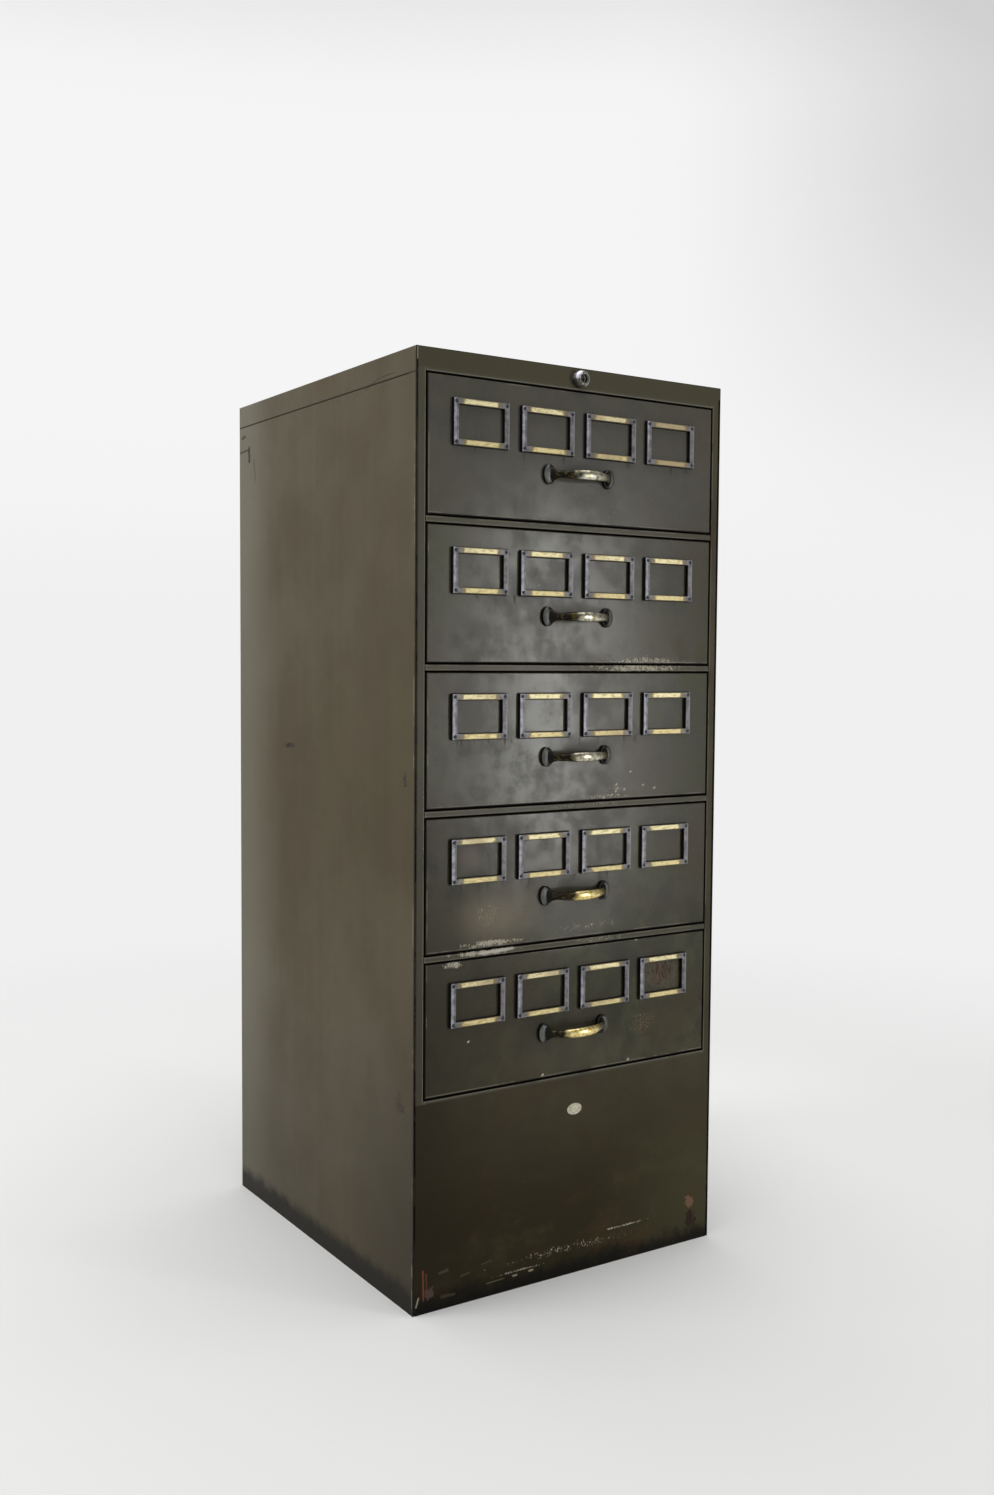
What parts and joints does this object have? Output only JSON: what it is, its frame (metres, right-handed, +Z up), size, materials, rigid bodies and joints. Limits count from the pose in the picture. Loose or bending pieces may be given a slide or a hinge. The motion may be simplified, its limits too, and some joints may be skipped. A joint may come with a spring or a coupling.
{
  "type": "sheet-steel drawer cabinet",
  "caption": "Tall pressed-steel filing cabinet with flush drawers on roller runners, brass label holders and bow pulls, and a gang lock in the top rail.",
  "frame": {"origin": "middle of the case's underside: half its width, half the depth of the case without the pulls, at floor level", "axes": "+Z up, -Y out of the drawer fronts, +X to the right of a person facing the drawers"},
  "size_m": [0.534, 0.622, 1.32],
  "materials": {
    "case_enamel": "worn olive-brown baked enamel",
    "front_enamel": "worn olive-grey baked enamel with scuffed edges",
    "inner_enamel": "dull olive enamel inside the case and the trays",
    "zinc_steel": "dull plated steel",
    "chrome": "worn bright chrome",
    "holder_brass": "browned brass, rubbed bright in the middle of the bars",
    "pull_brass": "cast brass, dark at the feet and rubbed bright on the grip"
  },
  "bodies": {
    "case": {"face_frame": "front_enamel", "cross_rails": "front_enamel", "top_cap": "case_enamel", "side_panel_left": "case_enamel", "side_panel_right": "case_enamel", "back_panel": "case_enamel", "base_pan": "inner_enamel", "uprights": "inner_enamel", "runners_left": "zinc_steel", "runners_right": "zinc_steel", "front_axles": "zinc_steel", "lock_collar": "chrome", "lock_nut": "zinc_steel", "bar_guides": "zinc_steel"},
    "lock_cylinder": {"lock_plug": "chrome", "lock_cam": "zinc_steel"},
    "lock_link": {"link_bar": "zinc_steel"},
    "gang_bar": {"lock_bar": "zinc_steel", "lock_hooks": "zinc_steel"},
    "drawer_1": {"drawer_front_1": "front_enamel", "drawer_tray_1": "inner_enamel", "partitions_1": "inner_enamel", "label_holders_1": "holder_brass", "pull_1": "pull_brass", "drawer_rails_1": "zinc_steel"},
    "front_roller_pair_1": {"front_rollers_1": "zinc_steel"},
    "rear_roller_pair_1": {"rear_rollers_1": "zinc_steel"},
    "drawer_2": {"drawer_front_2": "front_enamel", "drawer_tray_2": "inner_enamel", "partitions_2": "inner_enamel", "label_holders_2": "holder_brass", "pull_2": "pull_brass", "drawer_rails_2": "zinc_steel"},
    "front_roller_pair_2": {"front_rollers_2": "zinc_steel"},
    "rear_roller_pair_2": {"rear_rollers_2": "zinc_steel"},
    "drawer_3": {"drawer_front_3": "front_enamel", "drawer_tray_3": "inner_enamel", "partitions_3": "inner_enamel", "label_holders_3": "holder_brass", "pull_3": "pull_brass", "drawer_rails_3": "zinc_steel"},
    "front_roller_pair_3": {"front_rollers_3": "zinc_steel"},
    "rear_roller_pair_3": {"rear_rollers_3": "zinc_steel"},
    "drawer_4": {"drawer_front_4": "front_enamel", "drawer_tray_4": "inner_enamel", "partitions_4": "inner_enamel", "label_holders_4": "holder_brass", "pull_4": "pull_brass", "drawer_rails_4": "zinc_steel"},
    "front_roller_pair_4": {"front_rollers_4": "zinc_steel"},
    "rear_roller_pair_4": {"rear_rollers_4": "zinc_steel"},
    "drawer_5": {"drawer_front_5": "front_enamel", "drawer_tray_5": "inner_enamel", "partitions_5": "inner_enamel", "label_holders_5": "holder_brass", "pull_5": "pull_brass", "drawer_rails_5": "zinc_steel"},
    "front_roller_pair_5": {"front_rollers_5": "zinc_steel"},
    "rear_roller_pair_5": {"rear_rollers_5": "zinc_steel"}
  },
  "joints": [
    {"name": "lock_turn", "type": "hinge", "parent": "case", "child": "lock_cylinder", "pos_m": [0, -0.295, 1.3035], "axis": [0, 1, 0], "range_deg": [0, 90]},
    {"name": "link_shift", "type": "slide", "parent": "case", "child": "lock_link", "axis": [1, 0, 0], "range_m": [0, 0.01414]},
    {"name": "gang_bar_lift", "type": "slide", "parent": "case", "child": "gang_bar", "axis": [0, 0, 1], "range_m": [0, 0.01415]},
    {"name": "drawer_1_slide", "type": "slide", "parent": "case", "child": "drawer_1", "axis": [0, -1, 0], "range_m": [0, 0.43]},
    {"name": "front_rollers_1_turn", "type": "hinge", "parent": "case", "child": "front_roller_pair_1", "pos_m": [0, -0.249, 1.1215], "axis": [1, 0, 0], "range_deg": [0, 2240]},
    {"name": "rear_rollers_1_turn", "type": "hinge", "parent": "drawer_1", "child": "rear_roller_pair_1", "pos_m": [0, 0.229, 1.1215], "axis": [1, 0, 0], "range_deg": [0, 2240]},
    {"name": "drawer_2_slide", "type": "slide", "parent": "case", "child": "drawer_2", "axis": [0, -1, 0], "range_m": [0, 0.43]},
    {"name": "front_rollers_2_turn", "type": "hinge", "parent": "case", "child": "front_roller_pair_2", "pos_m": [0, -0.249, 0.922], "axis": [1, 0, 0], "range_deg": [0, 2240]},
    {"name": "rear_rollers_2_turn", "type": "hinge", "parent": "drawer_2", "child": "rear_roller_pair_2", "pos_m": [0, 0.229, 0.922], "axis": [1, 0, 0], "range_deg": [0, 2240]},
    {"name": "drawer_3_slide", "type": "slide", "parent": "case", "child": "drawer_3", "axis": [0, -1, 0], "range_m": [0, 0.43]},
    {"name": "front_rollers_3_turn", "type": "hinge", "parent": "case", "child": "front_roller_pair_3", "pos_m": [0, -0.249, 0.7225], "axis": [1, 0, 0], "range_deg": [0, 2240]},
    {"name": "rear_rollers_3_turn", "type": "hinge", "parent": "drawer_3", "child": "rear_roller_pair_3", "pos_m": [0, 0.229, 0.7225], "axis": [1, 0, 0], "range_deg": [0, 2240]},
    {"name": "drawer_4_slide", "type": "slide", "parent": "case", "child": "drawer_4", "axis": [0, -1, 0], "range_m": [0, 0.43]},
    {"name": "front_rollers_4_turn", "type": "hinge", "parent": "case", "child": "front_roller_pair_4", "pos_m": [0, -0.249, 0.523], "axis": [1, 0, 0], "range_deg": [0, 2240]},
    {"name": "rear_rollers_4_turn", "type": "hinge", "parent": "drawer_4", "child": "rear_roller_pair_4", "pos_m": [0, 0.229, 0.523], "axis": [1, 0, 0], "range_deg": [0, 2240]},
    {"name": "drawer_5_slide", "type": "slide", "parent": "case", "child": "drawer_5", "axis": [0, -1, 0], "range_m": [0, 0.43]},
    {"name": "front_rollers_5_turn", "type": "hinge", "parent": "case", "child": "front_roller_pair_5", "pos_m": [0, -0.249, 0.3235], "axis": [1, 0, 0], "range_deg": [0, 2240]},
    {"name": "rear_rollers_5_turn", "type": "hinge", "parent": "drawer_5", "child": "rear_roller_pair_5", "pos_m": [0, 0.229, 0.3235], "axis": [1, 0, 0], "range_deg": [0, 2240]}
  ],
  "couplings": [
    {"joint": "lock_turn", "follows": "link_shift", "rad_per_m": 111.07},
    {"joint": "gang_bar_lift", "follows": "link_shift", "ratio": 1},
    {"joint": "front_rollers_1_turn", "follows": "drawer_1_slide", "rad_per_m": 90.909},
    {"joint": "rear_rollers_1_turn", "follows": "drawer_1_slide", "rad_per_m": 90.909},
    {"joint": "front_rollers_2_turn", "follows": "drawer_2_slide", "rad_per_m": 90.909},
    {"joint": "rear_rollers_2_turn", "follows": "drawer_2_slide", "rad_per_m": 90.909},
    {"joint": "front_rollers_3_turn", "follows": "drawer_3_slide", "rad_per_m": 90.909},
    {"joint": "rear_rollers_3_turn", "follows": "drawer_3_slide", "rad_per_m": 90.909},
    {"joint": "front_rollers_4_turn", "follows": "drawer_4_slide", "rad_per_m": 90.909},
    {"joint": "rear_rollers_4_turn", "follows": "drawer_4_slide", "rad_per_m": 90.909},
    {"joint": "front_rollers_5_turn", "follows": "drawer_5_slide", "rad_per_m": 90.909},
    {"joint": "rear_rollers_5_turn", "follows": "drawer_5_slide", "rad_per_m": 90.909}
  ]
}
